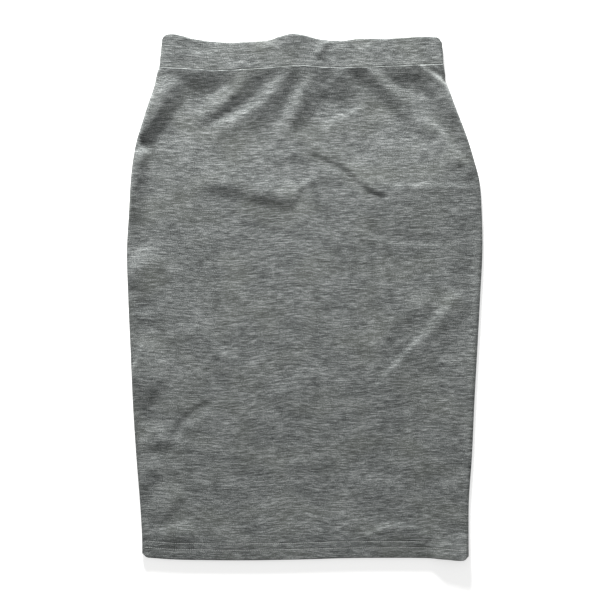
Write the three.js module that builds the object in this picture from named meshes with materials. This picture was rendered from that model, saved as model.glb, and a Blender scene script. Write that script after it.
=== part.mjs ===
// Pencil skirt in marl jersey, laid flat on its back panel with the front panel uppermost.
// Millimetres, +Z up, +Y towards the waist, +X to the right of someone looking down on the front.
// The origin is on the surface it lies on, under the middle of the skirt's bounding box.
import * as THREE from "three";

// Cloth and trim, as the sizes that a maker works with
const CLOTH = 1.3; // one layer of jersey
const ELASTIC = 1.2; // woven elastic inside the waistband
const BAND_WALL = 2 * CLOTH + ELASTIC;
const SEAM_GAP = 0.3; // between two pieces where they are sewn together
const LAY_GAP = 0.35; // between two pieces that lie on each other
const ALLOWANCE = 9; // width of the overlocked seam allowances inside
const HEM_TURN = 19; // depth of the turned-up hem
const STEP = 2.5; // length over which a wall goes from one thickness to the next
const SIDE_TURN = 5; // how far in from the side seam the cloth has turned level
const WAIST_LAYERS = 1.7; // layers that the allowances add under the waist seam, pressed together
const SIDE_LAYERS = 1.1; // layers that the side seams' allowances add, pressed to the back
const EDGE_ROUND = 2; // how far in a sewn or folded edge is rounded off
const WAIST_DIP = 1.3; // how deep the front's outer face dips to the waist seam
const BACK_DIP = 0.7; // how deep the back's does
const HEM_CLOSE = 0.9 * CLOTH; // how much the inner face of a hem is rounded off at its fold

// Side seams, from the waist seam down to the hem: where each edge lies at that height
const SIDES = [
  { y: 292, left: -182.8, right: 174.8 },
  { y: 280, left: -186.6, right: 176.8 },
  { y: 272, left: -188.2, right: 176.8 },
  { y: 265, left: -189.8, right: 180.4 },
  { y: 244, left: -197.2, right: 188.2 },
  { y: 223, left: -203.9, right: 196.3 },
  { y: 198, left: -211.5, right: 205.6 },
  { y: 172, left: -216.4, right: 213.4 },
  { y: 147, left: -219.2, right: 219.8 },
  { y: 110, left: -221.2, right: 222.6 },
  { y: 60, left: -223.9, right: 223.6 },
  { y: 0, left: -222.2, right: 220.7 },
  { y: -65, left: -219.3, right: 217.2 },
  { y: -130, left: -216.5, right: 213.6 },
  { y: -200, left: -212.0, right: 210.4 },
  { y: -255, left: -207.6, right: 206.6 },
  { y: -300, left: -204.9, right: 206.2 },
  { y: -331, left: -204.6, right: 206.4 },
];

// Ends of the waistband, which is a little narrower at its top edge
const BAND_ENDS = [
  { y: 332, left: -179.0, right: 171.8 },
  { y: 310, left: -181.2, right: 173.6 },
  { y: 286, left: -183.6, right: 175.0 },
];

// Top edge of the waistband, which the relaxed elastic leaves wavy
const WAIST_EDGE = [
  { x: -182, y: 323.5 },
  { x: -179.5, y: 328.0 },
  { x: -176, y: 330.8 },
  { x: -168, y: 331.4 },
  { x: -157, y: 329.0 },
  { x: -138, y: 324.6 },
  { x: -100, y: 320.9 },
  { x: -57, y: 322.5 },
  { x: -44, y: 324.4 },
  { x: -32, y: 328.3 },
  { x: -16, y: 331.5 },
  { x: 0, y: 329.6 },
  { x: 18, y: 325.0 },
  { x: 44, y: 322.8 },
  { x: 70, y: 325.6 },
  { x: 110, y: 325.8 },
  { x: 135, y: 327.4 },
  { x: 165, y: 328.2 },
  { x: 170, y: 326.2 },
  { x: 173.5, y: 321.0 },
];

// Seam between the waistband and the two panels
const WAIST_SEAM = [
  { x: -184, y: 289.8 },
  { x: -157, y: 288.5 },
  { x: -107, y: 285.8 },
  { x: -57, y: 288.3 },
  { x: -6, y: 292.0 },
  { x: 25, y: 289.8 },
  { x: 75, y: 289.8 },
  { x: 132, y: 292.2 },
  { x: 176, y: 293.6 },
];

// Folded edge of the hem, and how its corners round off at the side seams
const HEM_EDGE = [
  { x: -205, y: -326.6 },
  { x: -188, y: -328.0 },
  { x: -170, y: -329.3 },
  { x: -145, y: -330.2 },
  { x: -70, y: -330.7 },
  { x: 0, y: -329.5 },
  { x: 57, y: -327.9 },
  { x: 150, y: -327.8 },
  { x: 178, y: -329.4 },
  { x: 193, y: -330.7 },
  { x: 206, y: -330.2 },
];
const HEM_CORNER = { rise: 4.2, flat: 0, fade: 7 };

// Folds of the front panel, gathered by the elastic or left by folding and handling.
// path: the crest. rise: its height. lit and lee: how far the slopes reach to the left and to the right
// of someone walking along the path. start and end: lengths over which it grows and dies away.
const FOLDS = [
  // gathers that hang from the waist seam
  { path: [[-154, 284], [-179, 242], [-204, 200]], rise: 4.6, lee: 22, lit: 15, start: 12, end: 26 },
  { path: [[-70, 282], [-104, 250], [-140, 219]], rise: 4.8, lee: 18, lit: 20, start: 12, end: 30 },
  { path: [[-22, 284], [-48, 250], [-78, 224]], rise: 4.8, lee: 15, lit: 21, start: 12, end: 34 },
  { path: [[12, 284], [-3, 252], [-16, 218]], rise: 4.6, lee: 17, lit: 18, start: 12, end: 30 },
  { path: [[60, 286], [42, 270], [28, 252]], rise: 3.0, lee: 15, lit: 12, start: 8, end: 16 },
  { path: [[82, 284], [112, 256], [156, 205]], rise: 4.8, lee: 17, lit: 16, start: 12, end: 42 },
  { path: [[150, 284], [181, 250], [206, 190]], rise: 4.8, lee: 25, lit: 12, start: 12, end: 36 },
  // short ones between the gathers
  { path: [[44, 258], [69, 255], [90, 238]], rise: 2.4, lee: 10, lit: 12, start: 12, end: 14 },
  { path: [[-46, 225], [-82, 224], [-112, 220]], rise: 1.8, lee: 12, lit: 12, start: 16, end: 16 },
  { path: [[-18, 222], [-31, 203], [-44, 184]], rise: 1.6, lee: 10, lit: 14, start: 10, end: 18 },
  { path: [[-7, 220], [-8, 202], [-6, 184]], rise: 1.2, lee: 10, lit: 9, start: 10, end: 14 },
  // creases across the hips
  { path: [[-2, 187], [32, 175], [52, 164], [66, 150], [86, 135], [110, 131]], rise: 2.4, lee: 6, lit: 18,
    start: 18, end: 16 },
  { path: [[-122, 144], [-76, 132], [-6, 125]], rise: 4.4, lee: 13, lit: 24, start: 40, end: 12 },
  { path: [[44, 166], [101, 137], [222, 137]], rise: 2.6, lee: 64, lit: 78, start: 50, end: 30 },
  { path: [[106, 135], [165, 137], [220, 136]], rise: 1.0, lee: 10, lit: 6, start: 20, end: 10 },
  { path: [[66, 82], [114, 63], [222, 62]], rise: 1.6, lee: 48, lit: 10, start: 34, end: 16 },
  // long slanting folds over the thighs
  { path: [[192, 4], [158, -37], [126, -71], [80, -128]], rise: 4.0, lee: 26, lit: 18, start: 18, end: 44 },
  { path: [[158, 2], [114, -30], [78, -72]], rise: 2.2, lee: 17, lit: 34, start: 26, end: 36 },
  { path: [[20, -88], [-16, -122], [-54, -148]], rise: 1.8, lee: 24, lit: 24, start: 24, end: 26 },
  { path: [[-54, -106], [-94, -72], [-160, -32]], rise: 1.3, lee: 20, lit: 18, start: 26, end: 30 },
  // puckers along the left side seam
  { path: [[-160, 28], [-186, 24], [-220, 14]], rise: 1.6, lee: 18, lit: 18, start: 16, end: 10 },
  { path: [[-176, -96], [-196, -102], [-218, -106]], rise: 1.9, lee: 24, lit: 16, start: 16, end: 10 },
  { path: [[-120, -131], [-138, -145], [-152, -158], [-166, -180]], rise: 1.6, lee: 6, lit: 14,
    start: 16, end: 18 },
  { path: [[-162, -176], [-188, -184], [-212, -204]], rise: 2.2, lee: 13, lit: 12, start: 14, end: 8 },
  { path: [[-174, -216], [-192, -218], [-209, -232]], rise: 2.2, lee: 13, lit: 12, start: 12, end: 8 },
  { path: [[-154, -238], [-177, -262], [-196, -286]], rise: 2.2, lee: 13, lit: 13, start: 16, end: 16 },
  { path: [[-140, -306], [-164, -310], [-190, -318]], rise: 1.3, lee: 9, lit: 10, start: 12, end: 12 },
  // waves near the right side seam and above the hem
  { path: [[216, -86], [196, -94], [170, -98]], rise: 1.5, lee: 18, lit: 18, start: 10, end: 16 },
  { path: [[212, -142], [194, -148], [172, -150]], rise: 1.4, lee: 18, lit: 16, start: 10, end: 14 },
  { path: [[164, -308], [144, -294], [124, -289], [100, -295], [74, -309]], rise: 1.8, lee: 11, lit: 9,
    start: 14, end: 14 },
  { path: [[208, -306], [190, -322], [168, -334]], rise: 1.4, lee: 12, lit: 34, start: 8, end: 12 },
];

// How high the front lies over the inside: rise at the edge, level as far as flat, gone by fade
const OVER_SIDES = { rise: 2.85, flat: 9, fade: 25 };
const OVER_HEM = { rise: 2.65, flat: 19, fade: 46 };
const OVER_WAIST = { rise: 4.6, flat: ALLOWANCE + STEP, fade: 28 };
const LYING = 2 * CLOTH + LAY_GAP; // top of the front panel where it lies flat on the back panel

// Waves of the front waistband, with the height of the band above the one it lies on
const BAND_WAVES = [
  { x: -150, half: 26, rise: 0.9 },
  { x: -22, half: 24, rise: 1.5 },
  { x: 14, half: 9, rise: 0.8 },
  { x: 60, half: 30, rise: 0.7 },
  { x: 130, half: 34, rise: 0.9 },
];

const clamp = (t) => Math.min(1, Math.max(0, t));
const smooth = (t) => clamp(t) ** 2 * (3 - 2 * clamp(t));
const mix = (a, b, t) => a + (b - a) * t;
// 1 up to flat, falling smoothly to 0 at fade
const shoulder = (distance, { flat, fade }) => 1 - smooth((distance - flat) / (fade - flat));

// A smooth curve through the rows of a table: the value of column `of` where column `at` equals t
function read(table, at, of, t) {
  const rows = table[0][at] <= table[table.length - 1][at] ? table : [...table].reverse();
  const last = rows.length - 1;
  if (t <= rows[0][at]) return rows[0][of];
  if (t >= rows[last][at]) return rows[last][of];
  const i = rows.findIndex((row) => row[at] > t) - 1;
  const slope = (k) => {
    const a = rows[Math.max(0, k - 1)];
    const b = rows[Math.min(last, k + 1)];
    return (b[of] - a[of]) / (b[at] - a[at]);
  };
  const span = rows[i + 1][at] - rows[i][at];
  const s = (t - rows[i][at]) / span;
  const s2 = s * s;
  const s3 = s2 * s;
  return (
    (2 * s3 - 3 * s2 + 1) * rows[i][of] +
    (s3 - 2 * s2 + s) * span * slope(i) +
    (3 * s2 - 2 * s3) * rows[i + 1][of] +
    (s3 - s2) * span * slope(i + 1)
  );
}
const sideLeft = (y) => read(SIDES, "y", "left", y);
const sideRight = (y) => read(SIDES, "y", "right", y);
const waistSeam = (x) => read(WAIST_SEAM, "x", "y", x);
const waistEdge = (x) => read(WAIST_EDGE, "x", "y", x);
const hemEdge = (x) => read(HEM_EDGE, "x", "y", x);

// Each fold's crest as short straight steps, with how far along it each step starts
const CREST_STEPS = 14;
const crests = FOLDS.map((fold) => {
  const crest = new THREE.SplineCurve(fold.path.map(([x, y]) => new THREE.Vector2(x, y)));
  const points = crest.getSpacedPoints(CREST_STEPS);
  let run = 0;
  const steps = points.slice(1).map((to, i) => {
    const from = points[i];
    const step = { from, way: to.clone().sub(from), run };
    step.size = step.way.length();
    run += step.size;
    return step;
  });
  return { ...fold, steps, size: run };
});

// Height of one fold at a point of the front panel
function foldRise(fold, x, y) {
  let best = Infinity;
  let side = 0;
  let run = 0;
  for (const { from, way, run: before, size } of fold.steps) {
    const dx = x - from.x;
    const dy = y - from.y;
    const t = clamp((dx * way.x + dy * way.y) / (size * size));
    const away = Math.hypot(dx - t * way.x, dy - t * way.y);
    if (away < best) {
      best = away;
      side = way.x * dy - way.y * dx;
      run = before + t * size;
    }
  }
  const reach = side > 0 ? fold.lee : fold.lit;
  if (best >= reach) return 0;
  const ends = smooth(run / fold.start) * smooth((fold.size - run) / fold.end);
  return fold.rise * ends * (1 - smooth(best / reach));
}

// Distances of a point from the side seams, the waist seam and the hem
function distances(x, y) {
  return {
    side: Math.min(x - sideLeft(y), sideRight(y) - x),
    waist: waistSeam(x) - y,
    hem: y - hemEdge(x),
  };
}

// Top of the front panel
function frontTop(x, y) {
  const { side, waist, hem } = distances(x, y);
  const lies = Math.hypot(
    OVER_SIDES.rise * shoulder(side, OVER_SIDES),
    OVER_HEM.rise * shoulder(hem, OVER_HEM),
    OVER_WAIST.rise * shoulder(waist, OVER_WAIST),
  );
  const folds = crests.reduce((sum, fold) => sum + foldRise(fold, x, y), 0);
  return LYING + Math.hypot(lies, folds);
}

// Thickness of each panel's wall: one layer, and more where an allowance or the hem is turned in
const turnedIn = (distance, width) => 1 - smooth((distance - width) / STEP);
function frontWall(x, y) {
  const { waist, hem } = distances(x, y);
  return CLOTH * (1 + Math.max(WAIST_LAYERS * turnedIn(waist, ALLOWANCE), turnedIn(hem, HEM_TURN)));
}
function backWall(x, y) {
  const { side, waist, hem } = distances(x, y);
  const atWaist = WAIST_LAYERS * turnedIn(waist, ALLOWANCE);
  const atSide = SIDE_LAYERS * turnedIn(side, ALLOWANCE);
  return CLOTH * (1 + Math.max(atWaist, atSide, turnedIn(hem, HEM_TURN)));
}

// Height of the side seam, which climbs to the seam of the waistband
const SEAM_LIES = 2.9;
const seamHeight = (waist) => mix(BAND_WALL + LAY_GAP / 2, SEAM_LIES, clamp(waist / ALLOWANCE));

// How far a rounded edge has fallen, from 1 at the edge to 0 where the rounding starts
const quarterRound = (t) => 1 - Math.sqrt(1 - (1 - clamp(t)) ** 2);
const rounding = (distance) => quarterRound(distance / EDGE_ROUND);

// One panel's section at a level: the outer face from left to right, then the inner face back again
function panelSection(columns, row, outerZ, innerZ, seamZ) {
  const outer = [];
  const inner = [];
  for (const column of columns) {
    const { x, y } = meet(row, column);
    const wall = column.from === "right" ? -CLOTH : CLOTH;
    const lift = Math.sin(column.turn);
    outer.push([x, y, mix(seamZ(x, y), outerZ(x, y), lift)]);
    inner.push([x + wall * Math.cos(column.turn), y, mix(seamZ(x, y), innerZ(x, y), lift)]);
  }
  return [...outer, ...inner.reverse()];
}

// Columns across a panel: the turn at each side seam, then lines further in, then even spacing
const TURN_STEPS = 2;
const INNER_LINE = 22;
const SIDE_LINES = [ALLOWANCE, ALLOWANCE + 1.4 * STEP, INNER_LINE];
const LEVEL = Math.PI / 2;
function panelColumns(between) {
  const half = [];
  for (let i = 0; i <= TURN_STEPS; i++) {
    const turn = (LEVEL * i) / TURN_STEPS;
    half.push({ turn, inset: SIDE_TURN * (1 - Math.cos(turn)) });
  }
  for (const inset of SIDE_LINES) half.push({ turn: LEVEL, inset });
  const left = half.map((column) => ({ ...column, from: "left" }));
  const right = half.map((column) => ({ ...column, from: "right" })).reverse();
  const middle = [];
  for (let i = 1; i < between; i++) middle.push({ turn: LEVEL, share: i / between, from: "middle" });
  return [...left, ...middle, ...right];
}
const FRONT_COLUMNS = 32;
const BACK_COLUMNS = 12;

// Rows down a panel: at the waist seam, down the gathers, down the rest, and at the hem
const WAIST_LINES = [0, 0.4 * EDGE_ROUND, EDGE_ROUND, ALLOWANCE, ALLOWANCE + STEP];
const HEM_LINES = [HEM_TURN + STEP, HEM_TURN, EDGE_ROUND, 0.35 * EDGE_ROUND, 0];
const GATHER_DEPTH = 180;
const FRONT_ROWS = { gathers: 18, lower: 16 };
const BACK_ROWS = { gathers: 9, lower: 8 };
function panelRows({ gathers, lower }) {
  const rows = WAIST_LINES.map((down) => ({ down }));
  const first = WAIST_LINES[WAIST_LINES.length - 1];
  for (let i = 1; i <= gathers; i++) rows.push({ down: mix(first, GATHER_DEPTH, i / gathers) });
  for (let i = 1; i < lower; i++) rows.push({ share: i / lower });
  return [...rows, ...HEM_LINES.map((up) => ({ up }))];
}

// Where a column meets a row. The row's y changes a little with x, so the two are found in turns
const MEET_TURNS = 4;
function meet(row, column) {
  const level = (x) => {
    const top = waistSeam(x) - SEAM_GAP / 2;
    const low = hemEdge(x);
    if (row.down !== undefined) return top - row.down;
    if (row.up === undefined) return mix(top - GATHER_DEPTH, low + HEM_LINES[0], row.share);
    const side = Math.min(x - sideLeft(low), sideRight(low) - x);
    const corner = HEM_CORNER.rise * shoulder(side, HEM_CORNER);
    return low + row.up + corner * Math.max(0, 1 - row.up / HEM_TURN);
  };
  const across = (y) => {
    const left = sideLeft(y);
    const right = sideRight(y);
    if (column.from === "left") return left + column.inset;
    if (column.from === "right") return right - column.inset;
    return mix(left + INNER_LINE, right - INNER_LINE, column.share);
  };
  let x = across(0);
  for (let i = 0; i < MEET_TURNS; i++) x = across(level(x));
  return { x, y: level(x) };
}
// A solid through rings that all hold the same number of points. endFaces closes its two ends
function skin(rings, extraPoints, endFaces) {
  const count = rings[0].length;
  const position = [...rings.flat(2), ...extraPoints.flat()];
  const index = [];
  for (let i = 0; i + 1 < rings.length; i++) {
    for (let j = 0; j < count; j++) {
      const here = i * count + j;
      const next = i * count + ((j + 1) % count);
      index.push(here, here + count, next);
      index.push(next, here + count, next + count);
    }
  }
  endFaces(index, count, (rings.length - 1) * count);
  const geometry = new THREE.BufferGeometry();
  geometry.setAttribute("position", new THREE.Float32BufferAttribute(position, 3));
  geometry.setIndex(index);
  geometry.computeVertexNormals();
  return geometry;
}

// A wall through sections whose second half runs back under the first: each end is a strip of quads
function wallSolid(sections) {
  return skin(sections, [], (index, count, last) => {
    for (let j = 0; j + 1 < count / 2; j++) {
      const across = count - 1 - j;
      index.push(j, j + 1, across, j + 1, across - 1, across);
      index.push(last + j, last + across, last + j + 1, last + j + 1, last + across, last + across - 1);
    }
  });
}

// A padded strip through rings: each end is a fan round the ring's middle
function stripSolid(rings) {
  const mean = (ring, k) => ring.reduce((sum, point) => sum + point[k], 0) / ring.length;
  const middle = (ring) => [0, 1, 2].map((k) => mean(ring, k));
  return skin(rings, [middle(rings[0]), middle(rings[rings.length - 1])], (index, count, last) => {
    const first = last + count;
    for (let j = 0; j < count; j++) {
      const next = (j + 1) % count;
      index.push(first, j, next);
      index.push(first + 1, last + next, last + j);
    }
  });
}

// The front panel: top face outside, wall below it, both edges rounded off
function frontPanel() {
  const columns = panelColumns(FRONT_COLUMNS);
  const rows = panelRows(FRONT_ROWS);
  const top = (x, y) => {
    const { waist, hem } = distances(x, y);
    return frontTop(x, y) - WAIST_DIP * rounding(waist - SEAM_GAP / 2) - CLOTH * rounding(hem);
  };
  const under = (x, y) => {
    const { hem } = distances(x, y);
    return frontTop(x, y) - frontWall(x, y) + HEM_CLOSE * rounding(hem);
  };
  const seam = (x, y) => seamHeight(distances(x, y).waist) + SEAM_GAP / 2;
  return wallSolid(rows.map((row) => panelSection(columns, row, top, under, seam)));
}

// The back panel: its outer face is underneath, flat on the surface it lies on
function backPanel() {
  const columns = panelColumns(BACK_COLUMNS);
  const rows = panelRows(BACK_ROWS);
  const under = (x, y) => {
    const { waist, hem } = distances(x, y);
    return BACK_DIP * rounding(waist - SEAM_GAP / 2) + CLOTH * rounding(hem);
  };
  const top = (x, y) => backWall(x, y) - HEM_CLOSE * rounding(distances(x, y).hem);
  const seam = (x, y) => seamHeight(distances(x, y).waist) - SEAM_GAP / 2;
  // the inner face is the upper one here, so it comes first
  const sections = rows.map((row) => {
    const section = panelSection(columns, row, under, top, seam);
    const half = section.length / 2;
    return [...section.slice(half).reverse(), ...section.slice(0, half).reverse()];
  });
  return wallSolid(sections);
}

// Lift of the front waistband, whose waves stand clear of the back waistband
function bandWave(x) {
  return BAND_WAVES.reduce((sum, wave) => sum + wave.rise * (1 - smooth(Math.abs(x - wave.x) / wave.half)), 0);
}

// One waistband: a folded strip over elastic, sewn to its panel along the same points of the waist seam.
// Its side away from the other waistband turns in at the side seams
const BAND_EDGE = 1.9; // rounding of its folded upper edge
const BAND_END = 0.8; // its thickness where it meets the other waistband
const BAND_ROWS = 4;
const BAND_SEAM = 1; // how far its faces stop short of the seam, which is rounded
const SEAM_FACE = [0.35, 0.65]; // the flat that faces the panel, as shares of its thickness
const WAVE_STARTS = 22; // how far in from the side seams its waves have their full height
function waistband(front, between) {
  const low = front ? BAND_WALL + LAY_GAP : 0;
  const seamRow = { down: -SEAM_GAP };
  const sections = panelColumns(between).map((column) => {
    const seam = meet(seamRow, column);
    const left = sideLeft(seam.y);
    const right = sideRight(seam.y);
    const share = (seam.x - left) / (right - left);
    const inward = Math.min(seam.x - left, right - seam.x);
    const across = (y) => mix(read(BAND_ENDS, "y", "left", y), read(BAND_ENDS, "y", "right", y), share);
    const top = waistEdge(across(BAND_ENDS[1].y));
    const full = mix(BAND_WALL, BAND_END, quarterRound(inward / BAND_WALL));
    const lower = front ? low + bandWave(seam.x) * smooth(inward / WAVE_STARTS) : BAND_WALL - full;
    const upper = lower + full;
    const edge = Math.min(BAND_EDGE, full / 2);
    const corner = (1 - Math.SQRT1_2) * edge;
    const ring = [];
    const add = (y, z) => ring.push([y === seam.y ? seam.x : across(y), y, z]);
    for (let k = 0; k <= BAND_ROWS; k++) add(mix(seam.y + BAND_SEAM, top - edge, k / BAND_ROWS), upper);
    add(top - corner, upper - corner);
    add(top, (lower + upper) / 2);
    add(top - corner, lower + corner);
    for (let k = BAND_ROWS; k >= 0; k--) add(mix(seam.y + BAND_SEAM, top - edge, k / BAND_ROWS), lower);
    for (const height of SEAM_FACE) add(seam.y, mix(lower, upper, height));
    return ring;
  });
  return stripSolid(sections);
}

const jersey = (name) => new THREE.MeshStandardMaterial({ name, color: 0x777a78, roughness: 0.95 });
const pieces = {
  back_panel: backPanel(),
  front_panel: frontPanel(),
  back_waistband: waistband(false, BACK_COLUMNS),
  front_waistband: waistband(true, FRONT_COLUMNS),
};
const skirt = new THREE.Group();
for (const [name, geometry] of Object.entries(pieces)) {
  const mesh = new THREE.Mesh(geometry, jersey(`${name}_jersey`));
  mesh.name = name;
  skirt.add(mesh);
}

export default skirt;
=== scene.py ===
import math

import bmesh
import bpy
import numpy as np
from mathutils import Matrix


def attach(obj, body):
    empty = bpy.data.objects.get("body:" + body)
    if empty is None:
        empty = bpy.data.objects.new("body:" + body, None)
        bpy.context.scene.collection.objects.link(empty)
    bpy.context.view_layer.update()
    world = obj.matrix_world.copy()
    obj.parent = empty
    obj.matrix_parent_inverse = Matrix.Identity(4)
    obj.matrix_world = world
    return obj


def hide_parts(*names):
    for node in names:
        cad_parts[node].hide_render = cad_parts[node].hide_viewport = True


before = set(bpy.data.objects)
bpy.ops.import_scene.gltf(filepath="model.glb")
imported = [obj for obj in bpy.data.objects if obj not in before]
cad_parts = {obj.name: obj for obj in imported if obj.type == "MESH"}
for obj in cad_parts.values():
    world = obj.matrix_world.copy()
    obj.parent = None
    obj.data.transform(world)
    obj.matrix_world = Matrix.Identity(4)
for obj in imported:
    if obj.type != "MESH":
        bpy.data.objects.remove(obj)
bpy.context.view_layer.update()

# Back panel
# One layer of cotton and polyester marl jersey, cut to shape and laid face down on the surface.
# Its top edge is sewn to the waistband, its long edges to the front panel, and its hem is
# turned up inside and held by two rows of twin-needle stitching.

MM = 0.001
CLOTH = 1.1  # thickness of the jersey as it shows, in mm as all sizes are from here on
SEAM_GAP = 0.3  # between two pieces where they are sewn together

# Side seams, from the hem up to the waist seam: height, left edge, right edge
SIDES = [
    (-331, -204.6, 206.4),
    (-300, -204.9, 206.2),
    (-255, -207.6, 206.6),
    (-200, -212.0, 210.4),
    (-130, -216.5, 213.6),
    (-65, -219.3, 217.2),
    (0, -222.2, 220.7),
    (60, -223.9, 223.6),
    (110, -221.2, 222.6),
    (147, -219.2, 219.8),
    (172, -216.4, 213.4),
    (198, -211.5, 205.6),
    (223, -203.9, 196.3),
    (244, -197.2, 188.2),
    (265, -189.8, 180.4),
    (272, -188.2, 176.8),
    (280, -186.6, 176.8),
    (292, -182.8, 174.8),
]

# Seam between the waistband and the two panels, from left to right
WAIST_SEAM = [
    (-184, 289.8),
    (-157, 288.5),
    (-107, 285.8),
    (-57, 288.3),
    (-6, 292.0),
    (25, 289.8),
    (75, 289.8),
    (132, 292.2),
    (176, 293.6),
]

# Folded edge of the hem, from left to right
HEM_EDGE = [
    (-205, -326.6),
    (-188, -328.0),
    (-170, -329.3),
    (-145, -330.2),
    (-70, -330.7),
    (0, -329.5),
    (57, -327.9),
    (150, -327.8),
    (178, -329.4),
    (193, -330.7),
    (206, -330.2),
]
HEM_CORNER = 4.2  # how far up the hem's two corners round off
CORNER_WIDTH = 7  # and how far along it
HEM_TURN = 19  # depth of the turned-up hem
FOLD_RADIUS = 1.15  # half the height of the hem's fold, over its outer faces
FOLD_ANGLES = np.radians([22, 45, 68, 90, 112, 135, 158, 180])
INSIDE_STEP = 2  # between the rows of the turned-up part
SIDE_TURN = 5  # how far in from a side seam the cloth has turned level
SEAM_HEIGHT = 2.9  # the side seams above the surface
BAND_HEIGHT = 3.975  # the same seams where they reach the waistband
SEAM_CLIMB = 9  # length over which they rise to it


def smooth(t):
    t = np.clip(t, 0, 1)
    return t * t * (3 - 2 * t)


def mix(a, b, t):
    return a + (b - a) * t


def shoulder(distance, flat, fade):
    """1 up to flat, falling smoothly to 0 at fade."""
    return 1 - smooth((distance - flat) / (fade - flat))


def curve_through(rows, t, of=1):
    """The smooth curve through a table's rows, level beyond its ends."""
    at = np.array([row[0] for row in rows], float)
    value = np.array([row[of] for row in rows], float)
    slope = np.empty_like(value)
    slope[1:-1] = (value[2:] - value[:-2]) / (at[2:] - at[:-2])
    slope[0] = (value[1] - value[0]) / (at[1] - at[0])
    slope[-1] = (value[-1] - value[-2]) / (at[-1] - at[-2])
    t = np.clip(np.asarray(t, float), at[0], at[-1])
    i = np.clip(np.searchsorted(at, t, side="right") - 1, 0, len(at) - 2)
    span = at[i + 1] - at[i]
    s = (t - at[i]) / span
    rest = 1 - s
    ends = value[i] * rest**2 * (1 + 2 * s) + value[i + 1] * s**2 * (3 - 2 * s)
    return ends + span * s * rest * (slope[i] * rest - slope[i + 1] * s)


def distances(x, y):
    """How far points are from the side seams, the waist seam and the hem's edge."""
    side = np.minimum(x - curve_through(SIDES, y, 1), curve_through(SIDES, y, 2) - x)
    return side, curve_through(WAIST_SEAM, x) - y, y - curve_through(HEM_EDGE, x)


def marks(*stretches):
    """Positions of grid lines: each stretch is (up to this length, in steps of about this)."""
    places = [0.0]
    for end, step in stretches:
        count = max(1, round((end - places[-1]) / step))
        places += list(np.linspace(places[-1], end, count + 1)[1:])
    return np.array(places)


PANEL_LENGTH = 619  # from the waist seam to the hem's edge, along the cloth
PANEL_WIDTH = 430  # on average, to be divided into columns
WAIST_PART = 180  # as far down, rows run along the waist seam
HEM_PART = 60  # and as far up, along the hem
HALF_HIPS = 220.0  # the columns are sought from this width on either side
SETTLING = 4  # turns in which rows and columns settle
TURN_STEPS = 8  # columns in which the cloth turns level at either side


def columns_across(width, step, turn_in):
    """Each column's share of the width, its shift and how far it has turned level."""
    turn = np.linspace(0, math.pi / 2, TURN_STEPS + 1)
    inset = turn_in * (1 - np.cos(turn))
    share = np.linspace(0, 1, round(width / step) + 1)[1:-1]
    shares = np.concatenate([turn * 0, share, turn * 0 + 1])
    shifts = np.concatenate([inset, turn_in * (1 - 2 * share), -inset[::-1]])
    lifts = np.concatenate([np.sin(turn), share * 0 + 1, np.sin(turn)[::-1]])
    return shares, shifts, lifts


def panel_points(columns, rows):
    """Where columns meet rows.

    A row's height changes with x and a column's place with y, so the two settle in turns.
    """
    shares, shifts, _ = columns
    down = rows[:, None]
    up = PANEL_LENGTH - down
    x = np.tile(mix(-HALF_HIPS, HALF_HIPS, shares), (len(rows), 1))
    for _ in range(SETTLING):
        top = curve_through(WAIST_SEAM, x) - SEAM_GAP / 2
        low = curve_through(HEM_EDGE, x)
        left_low, right_low = curve_through(SIDES, low, 1), curve_through(SIDES, low, 2)
        corner = HEM_CORNER * shoulder(np.minimum(x - left_low, right_low - x), 0, CORNER_WIDTH)
        foot = low + up + corner * np.clip(1 - up / HEM_TURN, 0, 1)
        along = (down - WAIST_PART) / (PANEL_LENGTH - HEM_PART - WAIST_PART)
        between = mix(top - WAIST_PART, low + HEM_PART, along)
        y = np.where(down < WAIST_PART, top - down, np.where(up < HEM_PART, foot, between))
        left, right = curve_through(SIDES, y, 1), curve_through(SIDES, y, 2)
        x = mix(left, right, shares) + shifts
    return x, y


def normals(x, y, z):
    """Unit normals on the upper side of a grid whose rows run down and columns right."""
    points = np.stack([x, y, z], -1)
    across = np.gradient(points, axis=1)
    along = np.gradient(points, axis=0)
    cross = np.cross(along, across)
    return cross / np.maximum(np.linalg.norm(cross, axis=-1, keepdims=True), 1e-9)


def with_hem(points, outward, rows):
    """Adds the hem's fold and the turned-up part inside to a panel's outer face."""
    centre = points[-1] - FOLD_RADIUS * outward[-1]
    way = points[-1] - points[-2]
    way /= np.linalg.norm(way, axis=-1, keepdims=True)
    fold = []
    for angle in FOLD_ANGLES:
        fold.append(centre + FOLD_RADIUS * (math.cos(angle) * outward[-1] + math.sin(angle) * way))
    inside = []
    for up in range(INSIDE_STEP, HEM_TURN + 1, INSIDE_STEP):
        row = int(np.argmin(np.abs(rows - (PANEL_LENGTH - FOLD_RADIUS - up))))
        inside.append(points[row] - 2 * FOLD_RADIUS * outward[row])
    return np.concatenate([points, fold, inside])


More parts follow.
